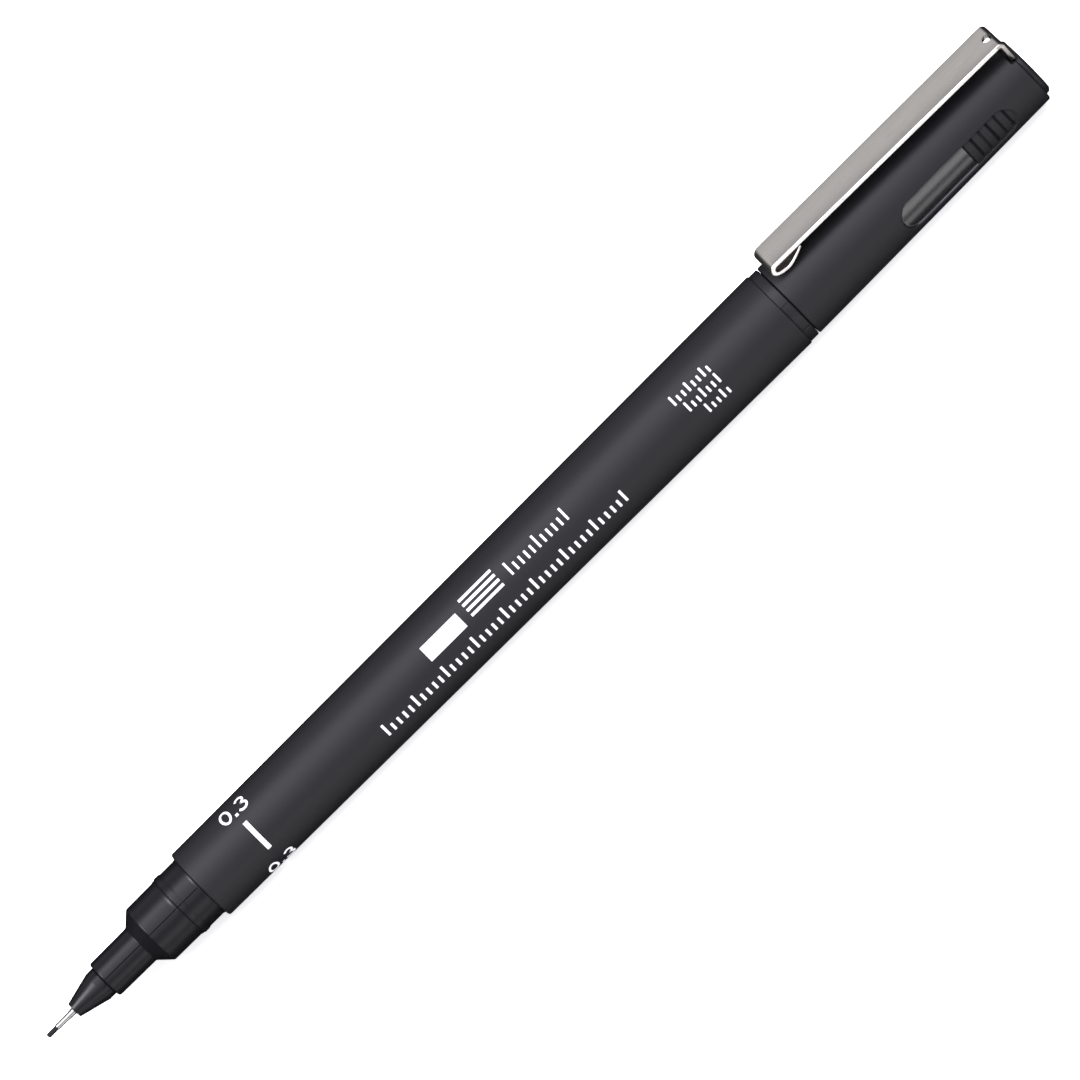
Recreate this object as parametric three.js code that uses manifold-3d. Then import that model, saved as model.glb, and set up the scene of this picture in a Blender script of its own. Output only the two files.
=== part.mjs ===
// A technical pen (fineliner) with its cap posted on the tail, as an assembly of its real pieces.
// Millimetres. The pen lies along X with its point at -X, its clip straight up (+Z), and z = 0 under the barrel.
// Stations are measured along the axis from the point of the nib.
import * as THREE from "three";
import { mergeVertices } from "three/addons/utils/BufferGeometryUtils.js";
import Module from "manifold-3d";

// Driving dimensions
const LENGTH = 160; // whole pen with the cap posted
const BARREL_FRONT = 24.8;
const BARREL_REAR = 119.7;
const BARREL_FRONT_R = 4.88;
const BARREL_REAR_R = 5.35;
const BARREL_BORE_R = 4.05;
const TAIL_BORE_R = 4.35;
const SLEEVE_FRONT = 9.25;
const SLEEVE_REAR = 15.2;
const SLEEVE_R = 2.58;
const COLLAR_FRONT = 16.8;
const COLLAR_R = 4.11;
const RING_FRONT = 21.35;
const RING_REAR = 22.5;
const RING_R = 4.3;
const SEAT_R = 4.19; // collar behind the ring, and the posting spigot
const CONE_FRONT = 4.3;
const CONE_REAR = 9.2;
const CONE_R = 2.015;
const PIPE_FRONT = 1.4;
const PIPE_R = 0.35;
const PIPE_FLARE_R = 0.52;
const NIB_R = 0.25;
const NIB_SHAFT_R = 0.75;
const NIB_REAR = 35;
const RESERVOIR_FRONT = 31.3;
const RESERVOIR_REAR = 109;
const RESERVOIR_R = 3.2;
const WRAP_R = 3.42;
const FLANGE_REAR = 120.95;
const FLANGE_R = 5.2;
const SPIGOT_REAR = 128.3;
const CAP_MOUTH = 121.1;
const CAP_END = 159.2;
const CAP_MOUTH_R = 5.22;
const CAP_END_R = 4.745;
const CAP_BORE_R = 4.45;
const CAP_DEEP_BORE_R = 3.6;
const LINER_MOUTH = 130.05;
const LINER_REAR = 149;
const LINER_R = 3.54;
const LINER_BORE_R = 2.96;
const END_PLUG_R = 4.1;
const GRIP_FRONT = 136.7;
const GRIP_REAR = 155;
const GRIP_WIDTH = 3.9;
const GRIP_DEPTH = 0.5;
const NOTCH_WIDTH = 5.4;
const CLIP_WIDTH = 4.3;
const CLIP_THICKNESS = 0.6;
const CLIP_TOP_R = 7.5; // from the axis to the clip's outer face
const CLIP_FREE_END = 121.8;
const CLIP_FOLD_REAR = 126.5; // where the folded-back end comes up under the strap
const CLIP_ROOT = 159.15; // outer face of the leg that crosses the cap's end
const CLIP_LEG_R = 3.0; // how near the leg comes to the axis
const CLIP_HOLE_R = 0.45;
const SHELL_GAP = 0.05; // between turned pieces on one axis
const CUT_GAP = 0.3; // between a piece and the pocket cut for it
const EDGE = 0.15; // chamfer on moulded rims

const AXIS_Z = BARREL_REAR_R;
const SEGMENTS = 36;
const FINE_SEGMENTS = 20;

const wasm = await Module();
wasm.setup();

const pen = new THREE.Group();

const plastic = (hex, roughness) => new THREE.MeshStandardMaterial({ color: hex, roughness, metalness: 0 });
const metal = (hex, roughness) => new THREE.MeshStandardMaterial({ color: hex, roughness, metalness: 1 });

function place(name, geometry, material) {
  const mesh = new THREE.Mesh(geometry, material);
  mesh.name = name;
  mesh.position.set(-LENGTH / 2, 0, AXIS_Z);
  pen.add(mesh);
}

// A body of revolution about the pen's axis from [station, radius] points: out along the outside, back along the bore.
function turned(profile, segments = SEGMENTS) {
  const onAxis = (point) => point[1] === 0;
  const closed = onAxis(profile[0]) && onAxis(profile.at(-1)) ? profile : [...profile, profile[0]];
  const geometry = new THREE.LatheGeometry(closed.map(([s, r]) => new THREE.Vector2(r, s)), segments);
  return geometry.rotateZ(-Math.PI / 2);
}

// An outline of [station, height above the axis] points, extruded across the pen and centred on it.
function across(points, width, holes = []) {
  const shape = new THREE.Shape(points.map(([s, h]) => new THREE.Vector2(s, h)));
  shape.holes.push(...holes);
  const geometry = new THREE.ExtrudeGeometry(shape, { depth: width, bevelEnabled: false });
  return geometry.translate(0, 0, -width / 2).rotateX(Math.PI / 2);
}

const box = (x0, x1, y0, y1, z0, z1) =>
  new THREE.BoxGeometry(x1 - x0, y1 - y0, z1 - z0).translate((x0 + x1) / 2, (y0 + y1) / 2, (z0 + z1) / 2);

function solid(geometry) {
  const bare = geometry.clone();
  bare.deleteAttribute("normal");
  bare.deleteAttribute("uv");
  const merged = mergeVertices(bare, 1e-5);
  const mesh = new wasm.Mesh({
    numProp: 3,
    vertProperties: new Float32Array(merged.attributes.position.array),
    triVerts: new Uint32Array(merged.index.array),
  });
  return new wasm.Manifold(mesh);
}

function cut(geometry, ...tools) {
  const result = tools.reduce((body, tool) => body.subtract(solid(tool)), solid(geometry)).getMesh();
  const out = new THREE.BufferGeometry();
  out.setAttribute("position", new THREE.Float32BufferAttribute(result.vertProperties, 3));
  out.setIndex(new THREE.Uint32BufferAttribute(result.triVerts, 1));
  return out;
}

// The point: a ground-down tip inside the pipe, and a thicker shaft that runs back into the reservoir.
function nib() {
  const shaftFront = CONE_REAR - 0.6;
  return turned([
    [0, 0], [0, 0.1], [0.1, 0.2], [0.3, NIB_R], [shaftFront, NIB_R],
    [shaftFront + 0.5, NIB_SHAFT_R], [NIB_REAR - 0.4, NIB_SHAFT_R], [NIB_REAR, 0.4], [NIB_REAR, 0],
  ], FINE_SEGMENTS);
}

function nibPipe() {
  const wallR = NIB_R + 0.03;
  const rear = CONE_REAR - 1.2;
  const flareRear = CONE_FRONT - SHELL_GAP;
  return turned([
    [PIPE_FRONT, wallR], [PIPE_FRONT, PIPE_R - 0.03], [PIPE_FRONT + 0.1, PIPE_R], [3.5, PIPE_R],
    [flareRear - 0.2, PIPE_FLARE_R], [flareRear, PIPE_FLARE_R], [flareRear, PIPE_R], [rear, PIPE_R], [rear, wallR],
  ], FINE_SEGMENTS);
}

// The nose cone: a cone in front, and a stem that plugs into the sleeve.
function noseCone() {
  const stemR = CONE_R - 0.3;
  const stemRear = SLEEVE_REAR;
  const pipeBore = PIPE_R + SHELL_GAP;
  const pipeStop = CONE_REAR - 1.1;
  const shaftBore = NIB_SHAFT_R + 0.1;
  return turned([
    [CONE_FRONT, pipeBore], [CONE_FRONT, 0.9], [CONE_FRONT + 0.15, 1.03], [8.6, CONE_R], [CONE_REAR, CONE_R],
    [CONE_REAR, stemR], [stemRear - 0.3, stemR], [stemRear, stemR - 0.2], [stemRear, shaftBore],
    [pipeStop + 0.5, shaftBore], [pipeStop, pipeBore],
  ]);
}

// Sleeve, cone, collar with snap ring, and the tube that is pressed into the barrel.
function frontSection() {
  const pressR = BARREL_BORE_R - SHELL_GAP;
  const pressRear = 36.5;
  const stemBore = CONE_R - 0.3 + SHELL_GAP;
  const shaftBore = NIB_SHAFT_R + 0.15;
  const cupR = WRAP_R + 0.08;
  const cupFront = RESERVOIR_FRONT - 0.3;
  const shoulder = BARREL_FRONT - SHELL_GAP;
  return turned([
    [SLEEVE_FRONT, stemBore], [SLEEVE_FRONT, SLEEVE_R - 0.35], [SLEEVE_FRONT + 0.12, SLEEVE_R - 0.12],
    [SLEEVE_FRONT + 0.35, SLEEVE_R - 0.04], [SLEEVE_REAR, SLEEVE_R], [COLLAR_FRONT - 0.1, COLLAR_R - 0.1],
    [COLLAR_FRONT + 0.1, COLLAR_R - 0.03], [RING_FRONT, COLLAR_R], [RING_FRONT + 0.2, RING_R],
    [RING_REAR - 0.3, RING_R], [RING_REAR, SEAT_R], [shoulder, SEAT_R], [shoulder, pressR],
    [pressRear - 0.4, pressR], [pressRear, pressR - 0.3], [pressRear, cupR], [cupFront, cupR],
    [cupFront, shaftBore], [SLEEVE_REAR + 0.6, shaftBore], [SLEEVE_REAR + 0.2, stemBore],
  ]);
}

function barrel() {
  return turned([
    [BARREL_FRONT, BARREL_BORE_R], [BARREL_FRONT, BARREL_FRONT_R - 0.25], [BARREL_FRONT + 0.1, BARREL_FRONT_R - 0.08],
    [BARREL_FRONT + 0.35, BARREL_FRONT_R], [BARREL_REAR - EDGE, BARREL_REAR_R], [BARREL_REAR, BARREL_REAR_R - EDGE],
    [BARREL_REAR, TAIL_BORE_R], [BARREL_REAR - 12, TAIL_BORE_R], [BARREL_FRONT + 14, BARREL_BORE_R],
  ]);
}

function inkReservoir() {
  const holeR = NIB_SHAFT_R + 0.05;
  const holeRear = NIB_REAR + 0.1;
  return turned([
    [holeRear, 0], [holeRear, holeR], [RESERVOIR_FRONT, holeR], [RESERVOIR_FRONT, RESERVOIR_R],
    [RESERVOIR_REAR, RESERVOIR_R], [RESERVOIR_REAR, 0],
  ]);
}

function reservoirWrap() {
  const bore = RESERVOIR_R + SHELL_GAP;
  return turned([
    [RESERVOIR_FRONT, bore], [RESERVOIR_FRONT, WRAP_R], [RESERVOIR_REAR, WRAP_R], [RESERVOIR_REAR, bore],
  ]);
}

// A cup that closes the barrel: a plug in front of the flange, and behind it the spigot that the cap is posted on.
function tailPlug() {
  const plugR = TAIL_BORE_R - SHELL_GAP;
  const plugFront = BARREL_REAR - 8;
  const seat = BARREL_REAR + SHELL_GAP;
  const ringFront = CAP_MOUTH + (BARREL_FRONT - RING_REAR);
  const ringRear = CAP_MOUTH + (BARREL_FRONT - RING_FRONT);
  const hollowR = plugR - 0.9;
  const hollowRear = SPIGOT_REAR - 1.2;
  return turned([
    [plugFront, hollowR], [plugFront, plugR - 0.3], [plugFront + 0.4, plugR], [seat, plugR], [seat, FLANGE_R],
    [FLANGE_REAR - EDGE, FLANGE_R], [FLANGE_REAR, FLANGE_R - EDGE], [FLANGE_REAR, SEAT_R], [ringFront, SEAT_R],
    [ringFront + 0.3, RING_R], [ringRear - 0.2, RING_R], [ringRear, COLLAR_R], [SPIGOT_REAR - 0.6, COLLAR_R],
    [SPIGOT_REAR, COLLAR_R - 0.6], [SPIGOT_REAR, 0], [hollowRear, 0], [hollowRear, hollowR],
  ]);
}

// How far the cap's outside stands from the axis: widest at the mouth, curving in a little towards its closed end.
function capRadius(station) {
  const t = (station - CAP_MOUTH) / (CAP_END - CAP_MOUTH);
  return THREE.MathUtils.lerp(CAP_MOUTH_R, CAP_END_R, Math.pow(t, 1.08));
}

function capShell() {
  const outside = [0.35, 6, 12, 18, 24, 30, 36].map((d) => [CAP_MOUTH + d, capRadius(CAP_MOUTH + d)]);
  const beadR = RING_R + SHELL_GAP;
  const body = turned([
    [CAP_MOUTH, CAP_BORE_R + 0.1], [CAP_MOUTH, CAP_MOUTH_R - EDGE - 0.05], ...outside,
    [CAP_END - 0.3, CAP_END_R], [CAP_END - 0.08, CAP_END_R - 0.1], [CAP_END, CAP_END_R - 0.3],
    [CAP_END, CAP_DEEP_BORE_R], [LINER_MOUTH + 0.2, CAP_DEEP_BORE_R], [LINER_MOUTH - 0.8, CAP_BORE_R],
    [CAP_MOUTH + 2, CAP_BORE_R], [CAP_MOUTH + 1.7, beadR], [CAP_MOUTH + 1.2, beadR], [CAP_MOUTH + 0.9, CAP_BORE_R],
  ]);
  const halfNotch = NOTCH_WIDTH / 2;
  const notch = box(CLIP_ROOT - CLIP_THICKNESS - CUT_GAP, CAP_END + 1, -halfNotch, halfNotch, 2, CLIP_TOP_R);
  return cut(body, notch, gripHollow(1), gripHollow(-1));
}

// The shallow finger hollow on one side of the cap: a stadium outline, deepest along its middle.
function gripHollow(side) {
  const halfWidth = GRIP_WIDTH / 2;
  const outline = new THREE.Shape();
  outline.absarc(GRIP_FRONT + halfWidth, 0, halfWidth, Math.PI / 2, (3 * Math.PI) / 2);
  outline.absarc(GRIP_REAR - halfWidth, 0, halfWidth, -Math.PI / 2, Math.PI / 2);
  const floorR = capRadius((GRIP_FRONT + GRIP_REAR) / 2) - GRIP_DEPTH;
  const reach = 2;
  const geometry = new THREE.ExtrudeGeometry(outline, { depth: reach, bevelEnabled: false, curveSegments: 8 });
  return geometry.translate(0, 0, floorR).rotateX((-side * Math.PI) / 2);
}

function innerCap() {
  const rearWall = 1;
  return turned([
    [LINER_MOUTH, LINER_BORE_R], [LINER_MOUTH, LINER_BORE_R + 0.2], [LINER_MOUTH + 0.35, LINER_R],
    [LINER_REAR - 0.3, LINER_R], [LINER_REAR, LINER_R - 0.3], [LINER_REAR, 0], [LINER_REAR - rearWall, 0],
    [LINER_REAR - rearWall, LINER_BORE_R],
  ]);
}

function capEndPlug() {
  const seat = CAP_END + SHELL_GAP;
  const stemR = CAP_DEEP_BORE_R - SHELL_GAP;
  const stemFront = CAP_END - 5;
  const body = turned([
    [stemFront, 0], [stemFront, stemR - 0.3], [stemFront + 0.3, stemR], [seat, stemR], [seat, END_PLUG_R],
    [seat + 0.25, END_PLUG_R - 0.05], [LENGTH - 0.15, END_PLUG_R - 0.4], [LENGTH, END_PLUG_R - 0.65], [LENGTH, 0],
  ]);
  const halfWidth = CLIP_WIDTH / 2 + CUT_GAP;
  const legRoom = box(CLIP_ROOT - CLIP_THICKNESS - CUT_GAP, CLIP_ROOT + CUT_GAP, -halfWidth, halfWidth,
    CLIP_LEG_R - CUT_GAP, CLIP_TOP_R);
  return cut(body, legRoom);
}

// The clip: a strip whose middle line runs up the cap's end, round a bend and along the strap. Its free end is
// folded back under the strap as a belly that rests on the cap.
function clip() {
  const half = CLIP_THICKNESS / 2;
  const bend = 0.4;
  const fold = 0.45;
  const strapR = CLIP_TOP_R - half;
  const legS = CLIP_ROOT - half;
  const foldS = CLIP_FREE_END + half;
  const foldR = strapR - fold;
  const lowS = CLIP_FREE_END + 2.3;
  const lowR = capRadius(lowS) + 0.1 + half;
  const tipS = CLIP_FOLD_REAR - half;
  const tipR = strapR - CLIP_THICKNESS - 0.2;
  const line = new THREE.Path();
  line.moveTo(legS, CLIP_LEG_R);
  line.lineTo(legS, strapR - bend);
  line.absarc(legS - bend, strapR - bend, bend, 0, Math.PI / 2, false);
  line.lineTo(foldS + fold, strapR);
  line.absarc(foldS + fold, foldR, fold, Math.PI / 2, Math.PI, false);
  line.bezierCurveTo(foldS, foldR - 0.7, lowS - 1.2, lowR, lowS, lowR);
  line.bezierCurveTo(lowS + 0.9, lowR, tipS - 0.5, tipR - 0.7, tipS, tipR);
  const points = line.getPoints(6);
  const kept = points.filter((point, i) => i === 0 || point.distanceTo(points[i - 1]) > 0.01);
  const side = (sign) => kept.map((point, i) => {
    const before = kept[Math.max(i - 1, 0)];
    const after = kept[Math.min(i + 1, kept.length - 1)];
    const along = after.clone().sub(before).normalize();
    return [point.x + sign * half * along.y, point.y - sign * half * along.x];
  });
  const strip = across([...side(1), ...side(-1).reverse()], CLIP_WIDTH);
  const hole = new THREE.CylinderGeometry(CLIP_HOLE_R, CLIP_HOLE_R, 2, 16).rotateX(Math.PI / 2);
  hole.rotateY(Math.PI / 4);
  return cut(strip, hole.translate(CLIP_ROOT - bend, 0, CLIP_TOP_R - bend));
}

place("nib", nib(), plastic(0x141416, 0.8));
place("nib_pipe", nibPipe(), metal(0xc9c8c6, 0.25));
place("nose_cone", noseCone(), plastic(0x1b1b1e, 0.4));
place("front_section", frontSection(), plastic(0x1b1b1e, 0.4));
place("barrel", barrel(), plastic(0x222125, 0.5));
place("ink_reservoir", inkReservoir(), plastic(0x2a2a33, 0.95));
place("reservoir_wrap", reservoirWrap(), plastic(0xd9dce0, 0.2));
place("tail_plug", tailPlug(), plastic(0x1f1e22, 0.45));
place("cap_shell", capShell(), plastic(0x222125, 0.5));
place("inner_cap", innerCap(), plastic(0xd8d8d4, 0.5));
place("cap_end_plug", capEndPlug(), plastic(0x1f1e22, 0.5));
place("clip", clip(), metal(0xb3aca8, 0.35));

export default pen;
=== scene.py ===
"""A technical pen with its cap posted on the tail: the looks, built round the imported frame.

Stations are millimetres along the axis from the point of the nib, radii are millimetres from the axis, and
turns are degrees round the axis from the clip (straight up) towards the camera's side (-Y).
"""
import math

import bmesh
import bpy
from mathutils import Matrix, Vector


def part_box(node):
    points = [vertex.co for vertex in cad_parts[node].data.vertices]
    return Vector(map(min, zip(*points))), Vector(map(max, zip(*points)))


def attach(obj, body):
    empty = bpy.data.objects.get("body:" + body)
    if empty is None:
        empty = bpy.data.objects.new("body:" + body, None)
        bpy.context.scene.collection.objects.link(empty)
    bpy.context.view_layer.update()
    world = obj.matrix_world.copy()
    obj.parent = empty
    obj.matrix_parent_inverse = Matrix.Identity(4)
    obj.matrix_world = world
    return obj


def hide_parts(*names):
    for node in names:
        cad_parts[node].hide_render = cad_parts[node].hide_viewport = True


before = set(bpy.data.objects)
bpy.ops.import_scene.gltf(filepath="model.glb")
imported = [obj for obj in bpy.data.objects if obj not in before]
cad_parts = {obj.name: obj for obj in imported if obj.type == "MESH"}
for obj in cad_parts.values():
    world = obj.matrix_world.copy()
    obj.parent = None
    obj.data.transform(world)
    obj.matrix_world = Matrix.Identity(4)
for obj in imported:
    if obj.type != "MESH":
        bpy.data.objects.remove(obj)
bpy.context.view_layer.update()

MM = 0.001
TIP_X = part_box("nib")[0].x
BARREL_LOW, BARREL_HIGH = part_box("barrel")
AXIS_Z = (BARREL_LOW.z + BARREL_HIGH.z) / 2


def station(x):
    return (x - TIP_X) / MM


# Stations and radii read from the frame. The barrel's mouth and the pipe's stand a touch behind the CAD's.
MOUTH_SETBACK = 0.12
PIPE_SETBACK = 0.1
BARREL_FRONT = station(BARREL_LOW.x) + MOUTH_SETBACK
BARREL_REAR = station(BARREL_HIGH.x)
BARREL_REAR_R = (BARREL_HIGH.z - BARREL_LOW.z) / 2 / MM
CAP_MOUTH = station(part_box("cap_shell")[0].x)
CAP_END = station(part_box("cap_shell")[1].x)
CAP_MOUTH_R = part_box("cap_shell")[1].y / MM
CLIP_FREE_END = station(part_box("clip")[0].x)
CLIP_TOP_R = (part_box("clip")[1].z - AXIS_Z) / MM
CLIP_HALF_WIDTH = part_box("clip")[1].y / MM
PEN_END = station(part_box("cap_end_plug")[1].x)
END_PLUG_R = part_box("cap_end_plug")[1].y / MM
FLANGE_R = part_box("tail_plug")[1].y / MM
SPIGOT_REAR = station(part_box("tail_plug")[1].x)
SLEEVE_FRONT = station(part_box("front_section")[0].x)
RING_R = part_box("front_section")[1].y / MM
CONE_FRONT = station(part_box("nose_cone")[0].x)
CONE_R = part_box("nose_cone")[1].y / MM
PIPE_FRONT = station(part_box("nib_pipe")[0].x) + PIPE_SETBACK
PIPE_REAR = station(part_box("nib_pipe")[1].x)
LINER_MOUTH = station(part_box("inner_cap")[0].x)
LINER_REAR = station(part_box("inner_cap")[1].x)
LINER_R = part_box("inner_cap")[1].y / MM

# Steps that a node's box doesn't give: the barrel and the nose
BARREL_FRONT_R = 4.88
BARREL_BORE_R = 4.05
TAIL_BORE_R = 4.35
SLEEVE_R = 2.58
SLEEVE_REAR = 15.2
COLLAR_FRONT = 16.8
COLLAR_R = 4.11
RING_FRONT = 21.35
RING_REAR = 22.5
SEAT_R = 4.19
CONE_REAR = 9.2
PIPE_R = 0.375
PIPE_FLARE_R = 0.46
NIB_R = 0.31
NIB_SHAFT_R = 0.75
NIB_REAR = 35.0

# The cap and its finger hollows
CAP_END_R = 4.745
CAP_BORE_R = 4.45
CAP_DEEP_BORE_R = 3.6
LINER_BORE_R = 2.96
SHELL_END = 159.25
NOTCH_HALF_WIDTH = 2.7
GRIP_FRONT = 136.7
GRIP_REAR = 155.0
GRIP_HALF_WIDTH = 2.1
GRIP_DEPTH = 0.3
RIB_TOP_DEPTH = 0.2
RIB_GROOVE_DEPTH = 0.28
RIBS_FRONT = 147.8
RIB_PITCH = 1.25

# The clip. A share is a part of the full thickness or width.
CLIP_THICKNESS = 0.6
CLIP_BELLY_SHARE = 0.72
CLIP_TIP_SHARE = 0.45
CLIP_ROOT_DROP = 0.2
CLIP_ROOT_FLARE = 0.2
CLIP_HOLE_R = 0.62
LEG_REAR = 159.55
LEG_END_R = 3.6
LEG_END_SHARE = 0.8

CAMERA_TURN = 47.8
SMOOTH_ANGLE = 38


# ---------------------------------------------------------------- shapes

def at(s, r, turn):
    """The point at a station, radius and turn, in the frame's metres."""
    a = math.radians(turn)
    return Vector((TIP_X + s * MM, -r * MM * math.sin(a), AXIS_Z + r * MM * math.cos(a)))


def rounded(profile, steps=5):
    """Turns corners into points. A corner is (station, radius), and a third value rounds it by that much."""
    points = []
    count = len(profile)
    for i, corner in enumerate(profile):
        here = Vector(corner[:2])
        if len(corner) < 3:
            points.append(here)
            continue
        back = Vector(profile[i - 1][:2]) - here
        ahead = Vector(profile[(i + 1) % count][:2]) - here
        half = back.angle(ahead) / 2
        reach = corner[2] / math.tan(half)
        reach = min(reach, 0.49 * back.length, 0.49 * ahead.length)
        r = reach * math.tan(half)
        start, end = here + back.normalized() * reach, here + ahead.normalized() * reach
        centre = here + (back.normalized() + ahead.normalized()).normalized() * (r / math.sin(half))
        first, last = start - centre, end - centre
        sweep = first.angle_signed(last)
        for k in range(steps + 1):
            points.append(centre + Matrix.Rotation(-sweep * k / steps, 2) @ first)
    return [(p.x, p.y) for p in points]


def new_object(name, bm):
    bmesh.ops.recalc_face_normals(bm, faces=bm.faces)
    mesh = bpy.data.meshes.new(name)
    bm.to_mesh(mesh)
    bm.free()
    mesh.shade_smooth()
    mesh.set_sharp_from_angle(angle=math.radians(SMOOTH_ANGLE))
    obj = bpy.data.objects.new(name, mesh)
    bpy.context.scene.collection.objects.link(obj)
    return obj


def oval(centre, half_width, half_height, start, end, steps):
    """Points of an oval from one angle to another."""
    angles = [math.radians(start + (end - start) * k / steps) for k in range(steps + 1)]
    return [Vector(centre) + Vector((half_width * math.cos(a), half_height * math.sin(a))) for a in angles]


def arc(centre, radius, start, end, steps):
    return oval(centre, radius, radius, start, end, steps)


def bezier(p0, p1, p2, p3, steps):
    """Points of a Bezier curve after its first."""
    points = []
    for k in range(1, steps + 1):
        t = k / steps
        w = ((1 - t) ** 3, 3 * t * (1 - t) ** 2, 3 * t * t * (1 - t), t ** 3)
        points.append(sum((Vector(p) * f for p, f in zip((p0, p1, p2, p3), w)), Vector((0, 0))))
    return points


def even_turns(count):
    return [360 * k / count for k in range(count)]


def turns_with(count, centres, half_width, steps):
    """Even turns, with finer ones round each centre."""
    turns = set(even_turns(count))
    for centre in centres:
        turns = {t for t in turns if abs((t - centre + 180) % 360 - 180) > half_width}
        turns |= {(centre + half_width * k / steps) % 360 for k in range(-steps, steps + 1)}
    return sorted(turns)


def revolve(name, points, turns, shape=None):
    """A body of revolution from (station, radius) points. shape(s, r, turn) may move a point in or out."""
    bm = bmesh.new()
    rings = []
    for s, r in points:
        if r < 1e-6:
            rings.append([bm.verts.new(at(s, 0, 0))] * len(turns))
            continue
        rings.append([bm.verts.new(at(s, shape(s, r, t) if shape else r, t)) for t in turns])
    on_axis = points[0][1] < 1e-6 and points[-1][1] < 1e-6
    pairs = list(zip(rings, rings[1:])) + ([] if on_axis else [(rings[-1], rings[0])])
    for a, b in pairs:
        for k in range(len(turns)):
            n = (k + 1) % len(turns)
            corners = list(dict.fromkeys([a[k], a[n], b[n], b[k]]))
            if len(corners) > 2:
                bm.faces.new(corners)
    return new_object(name, bm)


def subtract(obj, cutter):
    """Cuts one mesh from another, and removes the cutter."""
    modifier = obj.modifiers.new("cut", "BOOLEAN")
    modifier.object = cutter
    modifier.solver = "EXACT"
    evaluated = obj.evaluated_get(bpy.context.evaluated_depsgraph_get())
    mesh = bpy.data.meshes.new_from_object(evaluated)
    obj.modifiers.clear()
    obj.data = mesh
    bpy.data.objects.remove(cutter)
    mesh.set_sharp_from_angle(angle=math.radians(SMOOTH_ANGLE))


def rounded_box(name, low, high, bevel):
    """A box between two corners, given as (station, height over the axis, side), with round edges."""
    bm = bmesh.new()
    bmesh.ops.create_cube(bm, size=1)
    size = [(b - a) * MM for a, b in zip(low, high)]
    middle = [(a + b) / 2 * MM for a, b in zip(low, high)]
    for v in bm.verts:
        v.co = Vector((TIP_X + middle[0] + v.co.x * size[0], middle[2] + v.co.y * size[2],
                       AXIS_Z + middle[1] + v.co.z * size[1]))
    bmesh.ops.bevel(bm, geom=bm.edges[:], offset=bevel * MM, segments=4, profile=0.5, affect="EDGES")
    return new_object(name, bm)


# ---------------------------------------------------------------- materials

def node_material(name, colour, roughness, metallic=0.0, **sockets):
    """A Principled material, with its node tree, its shader and its place in object space."""
    mat = bpy.data.materials.new(name)
    mat.use_nodes = True
    tree = mat.node_tree
    shader = tree.nodes["Principled BSDF"]
    shader.inputs["Base Color"].default_value = (*colour, 1)
    shader.inputs["Roughness"].default_value = roughness
    shader.inputs["Metallic"].default_value = metallic
    for socket, value in sockets.items():
        shader.inputs[socket.replace("_", " ")].default_value = value
    place = tree.nodes.new("ShaderNodeTexCoord").outputs["Object"]
    return mat, tree, shader, place


def stretched(tree, place, scale):
    mapping = tree.nodes.new("ShaderNodeMapping")
    mapping.inputs["Scale"].default_value = scale
    tree.links.new(place, mapping.inputs["Vector"])
    return mapping.outputs["Vector"]


def noise(tree, vector, scale, detail=3.0, rough=0.55):
    node = tree.nodes.new("ShaderNodeTexNoise")
    node.inputs["Scale"].default_value = scale
    node.inputs["Detail"].default_value = detail
    node.inputs["Roughness"].default_value = rough
    tree.links.new(vector, node.inputs["Vector"])
    return node.outputs["Fac"]


def spread(tree, value, low, high):
    """Maps the middle stretch of a noise onto low..high."""
    node = tree.nodes.new("ShaderNodeMapRange")
    for socket, number in (("From Min", 0.3), ("From Max", 0.7), ("To Min", low), ("To Max", high)):
        node.inputs[socket].default_value = number
    tree.links.new(value, node.inputs["Value"])
    return node.outputs["Result"]


def two_tone(tree, value, dark, light):
    node = tree.nodes.new("ShaderNodeMix")
    node.data_type = "RGBA"
    node.inputs["A"].default_value = (*dark, 1)
    node.inputs["B"].default_value = (*light, 1)
    tree.links.new(value, node.inputs["Factor"])
    return node.outputs["Result"]


def bump(tree, shader, height, distance):
    node = tree.nodes.new("ShaderNodeBump")
    node.inputs["Strength"].default_value = 1.0
    node.inputs["Distance"].default_value = distance
    tree.links.new(height, node.inputs["Height"])
    tree.links.new(node.outputs["Normal"], shader.inputs["Normal"])


def calc(tree, operation, a, b=0.0):
    """One step of arithmetic on one or two values, each a number or a node's output."""
    node = tree.nodes.new("ShaderNodeMath")
    node.operation = operation
    for socket, value in zip(node.inputs, (a, b)):
        if isinstance(value, (int, float)):
            socket.default_value = value
        else:
            tree.links.new(value, socket)
    return node.outputs[0]


def split(tree, vector):
    """The x, y and z of a vector."""
    node = tree.nodes.new("ShaderNodeSeparateXYZ")
    tree.links.new(vector, node.inputs["Vector"])
    return node.outputs


POLISH_SMOOTHING = 0.5
POLISH_SHINE = 0.3


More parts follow.
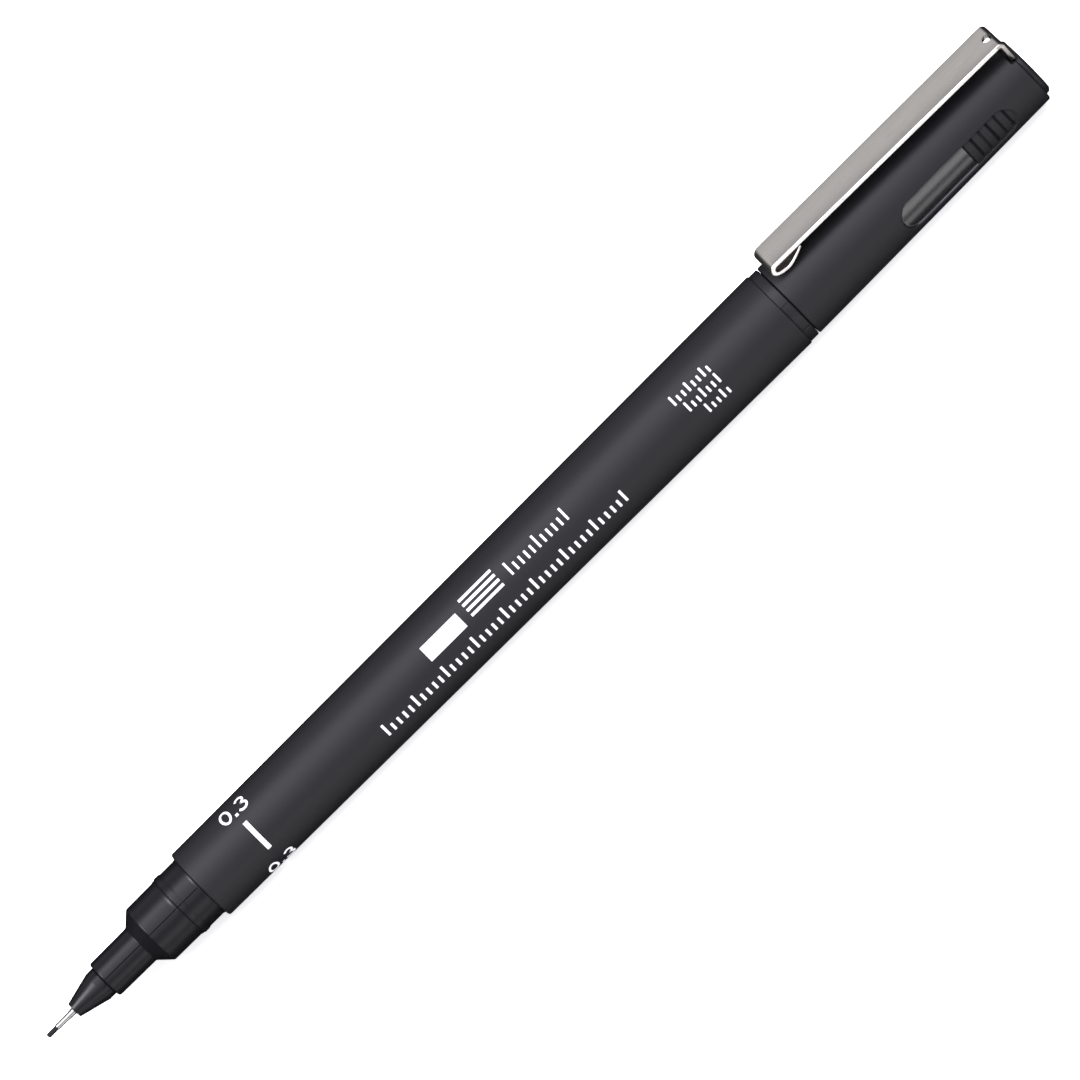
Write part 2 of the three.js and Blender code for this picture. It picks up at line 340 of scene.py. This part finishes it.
def moulded_plastic(name, dark, light, rough_low, rough_high, grain=7000.0, grain_depth=2.5e-6, polish=None,
                    **sockets):
    """Injection-moulded plastic: a fine even grain, slow flow marks and slight differences in shine.

    polish(tree, place) may give a mask of the places that the mould left polished.
    """
    mat, tree, shader, place = node_material(name, dark, rough_low, **sockets)
    slow = noise(tree, stretched(tree, place, (60, 260, 260)), 1.0)
    fine = noise(tree, place, grain, detail=2.0)
    rough = spread(tree, slow, rough_low, rough_high)
    if polish:
        mask = polish(tree, place)
        smoother = calc(tree, "SUBTRACT", 1.0, calc(tree, "MULTIPLY", mask, POLISH_SMOOTHING))
        rough = calc(tree, "MULTIPLY", rough, smoother)
        level = shader.inputs["Specular IOR Level"]
        shinier = calc(tree, "ADD", level.default_value, calc(tree, "MULTIPLY", mask, POLISH_SHINE))
        tree.links.new(shinier, level)
    tree.links.new(two_tone(tree, slow, dark, light), shader.inputs["Base Color"])
    tree.links.new(rough, shader.inputs["Roughness"])
    bump(tree, shader, fine, grain_depth)
    return mat


def hollow_floor(tree, place):
    """1 on the smooth floor of the cap's finger hollows, ahead of their ribs, and 0 elsewhere."""
    x, y, z = split(tree, place)
    height = calc(tree, "SUBTRACT", z, AXIS_Z)
    squares = calc(tree, "ADD", calc(tree, "MULTIPLY", y, y), calc(tree, "MULTIPLY", height, height))
    radius = calc(tree, "SQRT", squares)
    slope = (CAP_END_R - CAP_MOUTH_R) / (CAP_END - CAP_MOUTH)
    start = CAP_MOUTH_R * MM - slope * (TIP_X + CAP_MOUTH * MM)
    outside = calc(tree, "ADD", calc(tree, "MULTIPLY", x, slope), start)
    sunk = calc(tree, "GREATER_THAN", calc(tree, "SUBTRACT", outside, radius), 0.5 * GRIP_DEPTH * MM)
    ahead = calc(tree, "LESS_THAN", x, TIP_X + RIBS_FRONT * MM)
    behind = calc(tree, "GREATER_THAN", x, TIP_X + GRIP_FRONT * MM)
    return calc(tree, "MULTIPLY", calc(tree, "MULTIPLY", sunk, ahead), behind)


def drawn_metal(name, dark, light, rough_low, rough_high, along=120.0, across=9000.0, depth=8e-7,
                edge=None):
    """Metal with hair-fine drawing marks along the pen.

    Faces to the side may have a brighter colour, up to the bend at the cap's end: partly the cut edges' own
    brightness, partly a painted reflection of the light that they catch.
    """
    mat, tree, shader, place = node_material(name, light, rough_low, metallic=1.0)
    streaks = noise(tree, stretched(tree, place, (along, across, across)), 1.0, detail=4.0)
    cloud = noise(tree, place, 500.0)
    colour = two_tone(tree, cloud, dark, light)
    # Side faces ahead of the leg take the bright edge colour, partly the cut edges' own brightness and partly
    # a painted reflection; the leg, in the shade of the cap's notch, keeps the face colour
    if edge:
        x = split(tree, place)[0]
        y_lean = split(tree, place.node.outputs["Normal"])[1]
        painted_sheen_sides = calc(tree, "GREATER_THAN", calc(tree, "ABSOLUTE", y_lean), 0.7)
        ahead = calc(tree, "LESS_THAN", x, TIP_X + (LEG_REAR - 1.0) * MM)
        face = colour
        colour = two_tone(tree, calc(tree, "MULTIPLY", painted_sheen_sides, ahead), dark, edge)
        tree.links.new(face, colour.node.inputs["A"])
    tree.links.new(colour, shader.inputs["Base Color"])
    tree.links.new(spread(tree, streaks, rough_low, rough_high), shader.inputs["Roughness"])
    bump(tree, shader, streaks, depth)
    return mat


BLACK = {"dark": (0.0055, 0.0052, 0.0062), "light": (0.0075, 0.007, 0.0082), "IOR": 1.8,
         "Specular_IOR_Level": 0.1}
BARREL_PLASTIC = moulded_plastic("barrel_plastic", rough_low=0.49, rough_high=0.54, **BLACK)
CAP_PLASTIC = moulded_plastic("cap_plastic", rough_low=0.49, rough_high=0.54, polish=hollow_floor, **BLACK)
NOSE_PLASTIC = moulded_plastic("nose_plastic", (0.0035, 0.0033, 0.004), (0.0048, 0.0045, 0.0054), 0.32, 0.37,
                               grain=9000.0, grain_depth=1.2e-6, IOR=1.8, Specular_IOR_Level=0.085)
TAIL_PLASTIC = moulded_plastic("tail_plastic", rough_low=0.42, rough_high=0.48, **BLACK)
LINER_PLASTIC = moulded_plastic("liner_plastic", (0.62, 0.62, 0.6), (0.7, 0.7, 0.68), 0.42, 0.5)
NIB_FIBRE = moulded_plastic("nib_fibre", (0.004, 0.004, 0.0045), (0.009, 0.009, 0.01), 0.6, 0.8,
                            grain=14000.0, grain_depth=6e-6, Specular_IOR_Level=0.15)
RESERVOIR_FIBRE = moulded_plastic("reservoir_fibre", (0.02, 0.02, 0.03), (0.05, 0.05, 0.07), 0.85, 1.0,
                                  grain=4000.0, grain_depth=5e-5)
WRAP_FILM = moulded_plastic("wrap_film", (0.7, 0.72, 0.75), (0.78, 0.8, 0.83), 0.15, 0.25)
# The near-white edge colour on the clip's side faces is partly a painted reflection
CLIP_METAL = drawn_metal("clip_metal", (0.5, 0.475, 0.455), (0.56, 0.535, 0.515), 0.26, 0.34,
                         edge=(0.93, 0.91, 0.89))
NIB_STEEL = drawn_metal("nib_steel", (0.31, 0.305, 0.3), (0.36, 0.355, 0.35), 0.14, 0.22,
                        along=3000.0, depth=2e-7)
PRINT_WHITE = moulded_plastic("print_white", (0.5, 0.5, 0.515), (0.56, 0.56, 0.575), 0.5, 0.6, grain=12000.0)


def finish_piece(obj, mat, slot, body, *replaced):
    """Gives a piece its material and body, and hides the CAD nodes that it stands for."""
    obj.data.materials.clear()
    obj.data.materials.append(mat)
    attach(obj, body)
    if replaced:
        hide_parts(*replaced)
    return obj


# ---------------------------------------------------------------- the pen

def seam_shape(lowest_r, rear):
    """A fine parting line of the mould, on the camera's side and opposite, in the surface above a radius."""
    depth, half_width = 0.08, 0.075

    def shape(s, r, turn):
        if r < lowest_r or s > rear:
            return r
        off = (turn - CAMERA_TURN) % 180
        across = math.radians(min(off, 180 - off)) * r
        return r - depth * max(0.0, 1 - across / half_width)
    return shape


def make_nib():
    shaft_front = CONE_REAR - 0.6
    points = rounded([
        (0, 0), (0, NIB_R, 0.2), (shaft_front, NIB_R), (shaft_front + 0.5, NIB_SHAFT_R),
        (NIB_REAR, NIB_SHAFT_R, 0.3), (NIB_REAR, 0),
    ], steps=8)
    obj = revolve("point_fibre", points, even_turns(48))
    return finish_piece(obj, NIB_FIBRE, "nib_fibre", "pen", "nib")


def make_pipe():
    wall_r = NIB_R + 0.01
    flare_rear = CONE_FRONT - 0.05
    flare_front = 2.9
    points = rounded([
        (PIPE_FRONT, wall_r, 0.015), (PIPE_FRONT, PIPE_R, 0.03), (flare_front, PIPE_R, 1.5),
        (flare_rear, PIPE_FLARE_R, 0.04), (flare_rear, PIPE_R), (PIPE_REAR, PIPE_R), (PIPE_REAR, wall_r),
    ], steps=6)
    obj = revolve("steel_pipe", points, even_turns(64))
    return finish_piece(obj, NIB_STEEL, "nib_steel", "pen", "nib_pipe")


def make_cone():
    stem_r = CONE_R - 0.3
    bore = PIPE_R + 0.05
    shaft_bore = NIB_SHAFT_R + 0.1
    stop = CONE_REAR - 1.1
    points = rounded([
        (CONE_FRONT, bore, 0.03), (CONE_FRONT, 1.03, 0.12), (8.2, CONE_R, 0.3), (CONE_REAR, CONE_R, 0.08),
        (CONE_REAR, stem_r), (SLEEVE_REAR, stem_r, 0.2), (SLEEVE_REAR, shaft_bore), (stop + 0.5, shaft_bore),
        (stop, bore),
    ])
    obj = revolve("nose_moulding", points, even_turns(128))
    return finish_piece(obj, NOSE_PLASTIC, "nose_plastic", "pen", "nose_cone")


def make_section():
    stem_bore = CONE_R - 0.25
    shaft_bore = NIB_SHAFT_R + 0.15
    press_r = BARREL_BORE_R - 0.05
    press_rear = NIB_REAR + 1.5
    cup_floor = NIB_REAR - 4.0
    shoulder = BARREL_FRONT - 0.05
    cup_r = 3.5
    outside = [
        (SLEEVE_FRONT, stem_bore, 0.04), (SLEEVE_FRONT, SLEEVE_R - 0.04, 0.32), (SLEEVE_REAR, SLEEVE_R, 0.3),
        (COLLAR_FRONT, COLLAR_R - 0.03, 0.35), (RING_FRONT - 0.34, COLLAR_R, 0.4),
        (RING_FRONT - 0.02, COLLAR_R + 0.12, 0.05), (RING_FRONT, COLLAR_R + 0.02, 0.03),
        (RING_FRONT + 0.2, RING_R, 0.12), (RING_REAR - 0.3, RING_R, 0.12), (RING_REAR, SEAT_R, 0.06),
        (shoulder - 0.3, SEAT_R, 0.35), (shoulder, SEAT_R + 0.11, 0.04),
    ]
    inside = [
        (shoulder, press_r), (press_rear, press_r, 0.3), (press_rear, cup_r), (cup_floor, cup_r),
        (cup_floor, shaft_bore), (SLEEVE_REAR + 0.6, shaft_bore), (SLEEVE_REAR + 0.2, stem_bore),
    ]
    points = rounded(outside + inside)
    turns = turns_with(144, (CAMERA_TURN, CAMERA_TURN + 180), 2.5, 8)
    obj = revolve("section_moulding", points, turns, seam_shape(SLEEVE_R - 0.3, shoulder - 0.25))
    return finish_piece(obj, NOSE_PLASTIC, "nose_plastic", "pen", "front_section")


def barrel_radius(s):
    t = (s - BARREL_FRONT) / (BARREL_REAR - BARREL_FRONT)
    return BARREL_FRONT_R + (BARREL_REAR_R - BARREL_FRONT_R) * t


def make_barrel():
    outside = [(BARREL_FRONT + d, barrel_radius(BARREL_FRONT + d)) for d in (12, 24, 36, 48, 60, 72, 84)]
    points = rounded([
        (BARREL_FRONT, BARREL_BORE_R, 0.08), (BARREL_FRONT, BARREL_FRONT_R, 0.28), *outside,
        (BARREL_REAR, BARREL_REAR_R, 0.16), (BARREL_REAR, TAIL_BORE_R, 0.05), (BARREL_REAR - 12, TAIL_BORE_R),
        (BARREL_FRONT + 14, BARREL_BORE_R),
    ])
    obj = revolve("barrel_tube", points, even_turns(192))
    return finish_piece(obj, BARREL_PLASTIC, "barrel_plastic", "pen", "barrel")


def make_tail():
    seat = BARREL_REAR
    flange_rear = CAP_MOUTH - 0.09
    flat_first, flat_last, flat_depth = CAMERA_TURN, CAMERA_TURN + 47, 0.16
    plug_r = TAIL_BORE_R - 0.05
    plug_front = BARREL_REAR - 8
    ring_front = CAP_MOUTH + (BARREL_FRONT - RING_REAR)
    ring_rear = CAP_MOUTH + (BARREL_FRONT - RING_FRONT)
    hollow_r = plug_r - 0.9
    hollow_rear = SPIGOT_REAR - 1.2
    points = rounded([
        (plug_front, hollow_r), (plug_front, plug_r, 0.3), (seat, plug_r), (seat, FLANGE_R, 0.04),
        (flange_rear, FLANGE_R, 0.2), (flange_rear, SEAT_R, 0.06), (ring_front, SEAT_R, 0.06),
        (ring_front + 0.3, RING_R, 0.1), (ring_rear - 0.2, RING_R, 0.1), (ring_rear, COLLAR_R, 0.06),
        (SPIGOT_REAR, COLLAR_R, 0.6), (SPIGOT_REAR, 0), (hollow_rear, 0), (hollow_rear, hollow_r),
    ])

    def shape(s, r, turn):
        on_flange = r > RING_R + 0.3 and flat_first <= turn <= flat_last
        return r - flat_depth if on_flange else r

    obj = revolve("tail_moulding", points, turns_with(144, (flat_first, flat_last), 1.0, 4), shape)
    return finish_piece(obj, TAIL_PLASTIC, "tail_plastic", "pen", "tail_plug")


# ---------------------------------------------------------------- the white print

# Heights of the ink's two faces over the barrel's surface, its longest step, and the turns of repeated marks
INK_TOP = 0.015
INK_ROOT = -0.03
INK_STEP = 0.4
SIZE_TURNS = (3, 116, 236)
BAR_TURNS = (54.5, 171, 290)
BAR_STATION = 33.9
BAR_HALF_TURN = 25.3
THIN_TICK = 0.28


def straight(start, end):
    """A straight line in steps short enough to follow the barrel's curve."""
    start, end = Vector(start), Vector(end)
    count = max(1, math.ceil((end - start).length / INK_STEP))
    return [start.lerp(end, k / count) for k in range(count + 1)]


def stroke(bm, line, width, s, turn, closed=False):
    """A thin slab of ink along a line of (right, up) points, wrapped on the barrel at a station and turn."""
    def ink(point, height):
        station_here = s + point.x
        r = barrel_radius(station_here)
        return bm.verts.new(at(station_here, r + height, turn - math.degrees(point.y / r)))

    columns = max(1, math.ceil(width / INK_STEP))
    last = len(line) - 1
    rings = []
    for i, point in enumerate(line):
        back = line[i - 1] if i or closed else point
        ahead = line[(i + 1) % (last + 1)] if i < last or closed else point
        along = (ahead - back).normalized()
        half = Vector((-along.y, along.x)) * width / 2
        row = [point + half * (2 * k / columns - 1) for k in range(columns + 1)]
        rings.append([ink(p, INK_TOP) for p in row] + [ink(p, INK_ROOT) for p in reversed(row)])
    for a, b in list(zip(rings, rings[1:])) + ([(rings[-1], rings[0])] if closed else []):
        for k in range(len(a)):
            n = (k + 1) % len(a)
            bm.faces.new((a[k], a[n], b[n], b[k]))
    if not closed:
        bm.faces.new(rings[0])
        bm.faces.new(rings[-1][::-1])


def print_size_mark(bm, s, turn):
    """The line width in plain numerals of even weight: a zero, a point and a three."""
    weight = 0.31
    stroke(bm, oval((-1.27, 0), 0.62, 0.92, 0, 345, 23), weight, s, turn, closed=True)
    stroke(bm, straight((-0.2, -0.9), (0.2, -0.9)), 0.38, s, turn)
    upper = oval((1.2, 0.47), 0.53, 0.45, 160, -90, 18)
    lower = oval((1.2, -0.46), 0.64, 0.48, 90, -155, 18)
    stroke(bm, upper + lower[1:], weight, s, turn)


def print_ticks(bm, first, last, turn, height, pitch, weight=0.32, every=5):
    """A row of upright ticks like a rule's, evenly spread, with every few of them at full height."""
    low_share = 0.62
    count = round((last - first) / pitch)
    for k in range(count + 1):
        tall = height if k % every == 0 else height * low_share
        base = -height / 2
        stroke(bm, straight((0, base), (0, base + tall)), weight, first + (last - first) * k / count, turn)


def make_print():
    """Every mark on the barrel, from the nose to the tail.

    The line width and a bar take turns round the front. Then come a long row of ticks with an oblong, four
    lines and a short row beside it, and three short rows near the tail.
    """
    bm = bmesh.new()
    for turn in SIZE_TURNS:
        print_size_mark(bm, BAR_STATION - 0.05, turn)
    for turn in BAR_TURNS:
        half_bar = math.radians(BAR_HALF_TURN) * barrel_radius(BAR_STATION)
        stroke(bm, straight((0, -half_bar), (0, half_bar)), 0.6, BAR_STATION, turn)
    print_ticks(bm, 53.0, 91.6, 77, 1.75, 0.965)
    stroke(bm, straight((0, 0), (5.8, 0)), 2.1, 62.4, 42)
    for up in (-1.15, -0.38, 0.38, 1.15):
        stroke(bm, straight((0, up), (5.2, up)), 0.36, 69.4, 35)
    print_ticks(bm, 76.2, 85.2, 38, 1.8, 0.9, weight=THIN_TICK)
    for first, turn in ((103.3, 34.5), (104.1, 53), (105.7, 72.5)):
        print_ticks(bm, first, 108.9, turn, 1.3, 0.8, weight=THIN_TICK, every=3)
    return finish_piece(new_object("white_print", bm), PRINT_WHITE, "barrel_plastic", "pen")


# ---------------------------------------------------------------- the cap

def cap_radius(s):
    t = (s - CAP_MOUTH) / (CAP_END - CAP_MOUTH)
    return CAP_MOUTH_R + (CAP_END_R - CAP_MOUTH_R) * max(t, 0) ** 1.08


def smooth_step(x):
    x = min(max(x, 0.0), 1.0)
    return x * x * (3 - 2 * x)


def grip_depth(s, turn):
    """How deep the finger hollow is at a point: an even floor, a crisp rim, and ribs across its rear part."""
    depth = 0.0
    for centre in (90, 270):
        side = math.radians((turn - centre + 180) % 360 - 180) * cap_radius(s)
        if abs(side) > GRIP_HALF_WIDTH + 0.2 or not GRIP_FRONT - 0.2 < s < GRIP_REAR + 0.2:
            continue
        nearest = min(max(s, GRIP_FRONT + GRIP_HALF_WIDTH), GRIP_REAR - GRIP_HALF_WIDTH)
        out = math.hypot(side, s - nearest) / GRIP_HALF_WIDTH
        wall = smooth_step((1.0 - out) / 0.06)
        floor = GRIP_DEPTH
        if s > RIBS_FRONT:
            phase = (s - RIBS_FRONT) / RIB_PITCH % 1
            groove = smooth_step(1 - min(phase, 1 - phase) / 0.17)
            floor = RIB_TOP_DEPTH + RIB_GROOVE_DEPTH * groove
        depth = wall * floor
    return depth


def make_cap():
    coarse = [CAP_MOUTH + d for d in (3, 6, 9, 12)]
    fine_step, margin = 0.12, 0.4
    span = GRIP_REAR - GRIP_FRONT + 2 * margin
    count = int(span / fine_step)
    fine = [GRIP_FRONT - margin + span * k / count for k in range(count + 1)]
    outside = [(s, cap_radius(s)) for s in (*coarse, *fine)]
    bead_r = RING_R + 0.05
    front = rounded([
        (CAP_MOUTH, CAP_BORE_R, 0.1), (CAP_MOUTH, CAP_MOUTH_R, 0.2), (coarse[0], cap_radius(coarse[0])),
    ])
    rear = rounded([
        (GRIP_REAR + 0.5, cap_radius(GRIP_REAR + 0.5)), (SHELL_END, CAP_END_R, 0.25),
        (SHELL_END, CAP_DEEP_BORE_R, 0.05), (LINER_MOUTH + 0.2, CAP_DEEP_BORE_R),
        (LINER_MOUTH - 0.8, CAP_BORE_R), (CAP_MOUTH + 2, CAP_BORE_R, 0.1), (CAP_MOUTH + 1.7, bead_r, 0.1),
        (CAP_MOUTH + 1.2, bead_r, 0.1), (CAP_MOUTH + 0.9, CAP_BORE_R, 0.1),
    ])
    points = front[:-1] + outside + rear[1:]

    def shape(s, r, turn):
        return r - grip_depth(s, turn) if r > CAP_BORE_R + 0.1 else r

    turns = turns_with(96, (90, 270), 27, 54)
    obj = revolve("cap_moulding", points, turns, shape)
    notch = rounded_box("notch", (LEG_REAR - CLIP_THICKNESS - 0.42, 2, -NOTCH_HALF_WIDTH),
                        (SHELL_END + 1, CLIP_TOP_R, NOTCH_HALF_WIDTH), 0.2)
    subtract(obj, notch)
    return finish_piece(obj, CAP_PLASTIC, "cap_plastic", "cap", "cap_shell")


def make_liner():
    points = rounded([
        (LINER_MOUTH, LINER_BORE_R, 0.1), (LINER_MOUTH, LINER_BORE_R + 0.25, 0.1),
        (LINER_MOUTH + 0.4, LINER_R, 0.2), (LINER_REAR, LINER_R, 0.3), (LINER_REAR, 0), (LINER_REAR - 1, 0),
        (LINER_REAR - 1, LINER_BORE_R, 0.4),
    ])
    obj = revolve("seal_liner", points, even_turns(96))
    return finish_piece(obj, LINER_PLASTIC, "liner_plastic", "cap", "inner_cap")


def make_end_plug():
    seat = SHELL_END + 0.02
    stem_r = CAP_DEEP_BORE_R - 0.05
    stem_front = CAP_END - 5
    points = rounded([
        (stem_front, 0), (stem_front, stem_r, 0.3), (seat, stem_r), (seat, END_PLUG_R, 0.05),
        (PEN_END - 0.3, END_PLUG_R - 0.03, 0.1), (PEN_END, END_PLUG_R - 0.34, 0.15), (PEN_END, 3.2, 0.1),
        (PEN_END - 0.12, 3.1, 0.1), (PEN_END - 0.12, 0),
    ], steps=6)
    obj = revolve("end_plug_moulding", points, even_turns(144))
    half_room = CLIP_HALF_WIDTH + CLIP_ROOT_FLARE + 0.15
    room = rounded_box("leg_room", (LEG_REAR - CLIP_THICKNESS - 0.2, LEG_END_R - 0.15, -half_room),
                       (LEG_REAR + 1, CLIP_TOP_R, half_room), 0.1)
    subtract(obj, room)
    return finish_piece(obj, TAIL_PLASTIC, "tail_plastic", "cap", "cap_end_plug")


CLIP_STEPS = 12


def rootward(s):
    """0 at the clip's free end, rising to 1 at its root."""
    return (s - CLIP_FREE_END) / (LEG_REAR - CLIP_FREE_END)


def clip_line():
    """The strip's middle line as (station, height over the axis), and the index where the fold ends."""
    half = CLIP_THICKNESS / 2
    bend, fold = 0.5, 0.72
    strap_r = CLIP_TOP_R - half
    root_r = strap_r - CLIP_ROOT_DROP
    leg_s = LEG_REAR - half
    fold_s = CLIP_FREE_END + half
    fold_r = strap_r - fold
    low_s = CLIP_FREE_END + 2.1
    low_r = cap_radius(low_s) + 0.1 + half
    tip_s, tip_r = 126.45, strap_r - half - half * CLIP_TIP_SHARE - 0.02
    line = [Vector((leg_s, LEG_END_R)), *arc((leg_s - bend, root_r - bend), bend, 0, 90, 10)]
    line += [Vector((s, strap_r - CLIP_ROOT_DROP * rootward(s))) for s in (150, 140, 130)]
    line += arc((fold_s + fold, fold_r), fold, 90, 180, 10)
    fold_end = len(line) - 1
    line += bezier((fold_s, fold_r), (fold_s, fold_r - 0.5), (low_s - 1.0, low_r - 0.02), (low_s, low_r),
                   CLIP_STEPS)
    line += bezier((low_s, low_r), (low_s + 0.5, low_r + 0.02), (tip_s - 0.7, tip_r - 0.55), (tip_s, tip_r),
                   CLIP_STEPS)
    return line, fold_end


def make_clip():
    """Sweeps the strip's section, a flat rectangle with round edges, along its middle line."""
    half_t, half_w, edge = CLIP_THICKNESS / 2, CLIP_HALF_WIDTH, 0.13
    section = []
    for cx, cy, start in ((1, 1, 0), (-1, 1, 90), (-1, -1, 180), (1, -1, 270)):
        centre = (cx * (half_w - edge), cy * (half_t - edge))
        section += arc(centre, edge, start, start + 90, 4)
    line, fold_end = clip_line()
    bm = bmesh.new()
    rings = []
    last = len(line) - 1
    for i, point in enumerate(line):
        along = (line[min(i + 1, last)] - line[max(i - 1, 0)]).normalized()
        out = Vector((along.y, -along.x))
        # The strap narrows towards its free end, and the strip thins along its belly to its tip
        thinning = 1 - (1 - CLIP_BELLY_SHARE) * smooth_step((i - fold_end) / 8)
        thinning -= (CLIP_BELLY_SHARE - CLIP_TIP_SHARE) * smooth_step(1 - (last - i) / CLIP_STEPS)
        ring = []
        widening = 1 + CLIP_ROOT_FLARE / CLIP_HALF_WIDTH * max(rootward(point.x), 0)
        if i == 0:
            widening *= LEG_END_SHARE
        for across, height in section:
            side = across * widening
            place = point + out * height * thinning
            ring.append(bm.verts.new(Vector((TIP_X + place.x * MM, side * MM, AXIS_Z + place.y * MM))))
        rings.append(ring)
    for a, b in zip(rings, rings[1:]):
        for k in range(len(section)):
            n = (k + 1) % len(section)
            bm.faces.new((a[k], a[n], b[n], b[k]))
    bm.faces.new(rings[0])
    bm.faces.new(rings[-1][::-1])
    obj = new_object("clip_strip", bm)
    bm = bmesh.new()
    hole_r = CLIP_TOP_R - CLIP_ROOT_DROP - CLIP_THICKNESS / 2
    drill = Matrix.Translation(at(LEG_REAR - 1.0, hole_r, 0)) @ Matrix.Rotation(math.radians(18), 4, "Y")
    bmesh.ops.create_cone(bm, cap_ends=True, segments=40, radius1=CLIP_HOLE_R * MM,
                          radius2=CLIP_HOLE_R * MM, depth=2 * MM, matrix=drill)
    subtract(obj, new_object("hole", bm))
    return finish_piece(obj, CLIP_METAL, "clip_metal", "clip", "clip")


# ---------------------------------------------------------------- camera, floor and light

# The width of the view at the pen, and where the camera aims, in millimetres from over the frame's origin
VIEW_WIDTH = 125.28 * MM
AIM_RIGHT, AIM_UP = 0.348, 1.2296
CAMERA_DISTANCE = 1.5
SENSOR = 36.0


def make_camera():
    """Looks 42 degrees down across the pen, rolled so that the pen climbs to the right at 45 degrees."""
    elevation, lean, roll = math.radians(42.2), math.radians(0.5), math.radians(44.82)
    level = math.cos(lean)
    back = Vector((math.sin(lean), -level * math.cos(elevation), level * math.sin(elevation)))
    along = (Vector((1, 0, 0)) - back * back.x).normalized()
    over = back.cross(along)
    right = along * math.cos(roll) - over * math.sin(roll)
    up = along * math.sin(roll) + over * math.cos(roll)
    target = Vector((0, 0, AXIS_Z)) + (right * AIM_RIGHT + up * AIM_UP) * MM
    data = bpy.data.cameras.new("camera")
    data.sensor_width = SENSOR
    data.lens = SENSOR * CAMERA_DISTANCE / VIEW_WIDTH
    data.clip_start, data.clip_end = 0.05, 20
    camera = bpy.data.objects.new("camera", data)
    bpy.context.scene.collection.objects.link(camera)
    facing_back = Matrix((right, up, back)).transposed().to_4x4()
    camera.matrix_world = Matrix.Translation(target + back * CAMERA_DISTANCE) @ facing_back
    bpy.context.scene.camera = camera


def make_floor():
    bm = bmesh.new()
    bmesh.ops.create_circle(bm, cap_ends=True, radius=4.0, segments=96)
    floor = new_object("floor", bm)
    mat, tree, shader, place = node_material("floor_card", (0.8, 0.8, 0.8), 0.9)
    tone = noise(tree, place, 30.0)
    tint = two_tone(tree, tone, (0.645, 0.645, 0.645), (0.655, 0.655, 0.655))
    tree.links.new(tint, shader.inputs["Base Color"])
    shader.inputs["Emission Color"].default_value = (1, 1, 1, 1)
    shader.inputs["Emission Strength"].default_value = 0.65
    floor.data.materials.append(mat)
    floor.visible_glossy = False


def facing(turn, distance):
    """Where a card or light stands at a turn round the pen, with its face to the pen."""
    a = math.radians(turn)
    away = Vector((0, -math.sin(a), math.cos(a)))
    along = Vector((1, 0, 0))
    place = Matrix((along, away.cross(along), away)).transposed().to_4x4()
    return Matrix.Translation(Vector((0, 0, AXIS_Z)) + away * distance) @ place


def make_glow_card(turn, distance, width, height, strength):
    """A glowing card under the floor that only reflections see, as a light table gives from below."""
    bm = bmesh.new()
    bmesh.ops.create_grid(bm, x_segments=1, y_segments=1, size=0.5)
    card = new_object("glow_card", bm)
    card.matrix_world = facing(turn, distance) @ Matrix.Diagonal((width, height, 1, 1))
    mat = bpy.data.materials.new("glow")
    mat.use_nodes = True
    shader = mat.node_tree.nodes["Principled BSDF"]
    shader.inputs["Base Color"].default_value = (0, 0, 0, 1)
    shader.inputs["Emission Color"].default_value = (1, 1, 1, 1)
    shader.inputs["Emission Strength"].default_value = strength
    mat.cycles.emission_sampling = "NONE"
    card.data.materials.append(mat)
    card.visible_camera = card.visible_diffuse = card.visible_shadow = card.visible_transmission = False


def softbox(name, turn, distance, size, power, shift=0.0, tint=(1, 1, 1)):
    """An area light that faces the pen from a turn in degrees from straight up towards the camera's side."""
    data = bpy.data.lights.new(name, "AREA")
    data.shape = "RECTANGLE"
    data.size, data.size_y = size
    data.energy = power
    data.color = tint
    light = bpy.data.objects.new(name, data)
    bpy.context.scene.collection.objects.link(light)
    light.matrix_world = Matrix.Translation((shift, 0, 0)) @ facing(turn, distance)
    light.visible_camera = False


COOL = (0.985, 0.965, 1.06)
STRIP_DISTANCE = 0.9
STRIP_LENGTH = 2.0

# Long soft strips along the pen: name, turn, height, power
STRIPS = (
    ("key", 3, 0.34, 15.8),
    ("over", 27, 0.36, 8.6),
    ("fill", 52, 0.36, 5.2),
    ("front", 86, 0.28, 1.2),
)


def make_light():
    world = bpy.data.worlds.new("studio")
    world.use_nodes = True
    world.node_tree.nodes["Background"].inputs["Color"].default_value = (1, 1, 1, 1)
    world.node_tree.nodes["Background"].inputs["Strength"].default_value = 0.45
    bpy.context.scene.world = world
    world.cycles_visibility.glossy = False
    bpy.context.scene.view_settings.view_transform = "Standard"
    for name, turn, height, power in STRIPS:
        softbox(name, turn, STRIP_DISTANCE, (STRIP_LENGTH, height), power, tint=COOL)
    softbox("back", -50, STRIP_DISTANCE, (1.2, 0.42), 1.42)
    softbox("side", 8, 0.8, (0.35, 0.3), 12.0, shift=-0.75)
    make_glow_card(102, STRIP_DISTANCE, STRIP_LENGTH, 0.34, 2.7)
    make_glow_card(135, STRIP_DISTANCE, STRIP_LENGTH, 0.28, 1.7)


make_camera()
make_light()
make_floor()
make_nib()
make_pipe()
make_cone()
make_section()
make_barrel()
make_print()
make_tail()
make_cap()
make_liner()
make_end_plug()
make_clip()
for node_name, node_mat in (("ink_reservoir", RESERVOIR_FIBRE), ("reservoir_wrap", WRAP_FILM)):
    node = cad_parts[node_name]
    node.data.materials.clear()
    node.data.materials.append(node_mat)

bpy.context.view_layer.update()
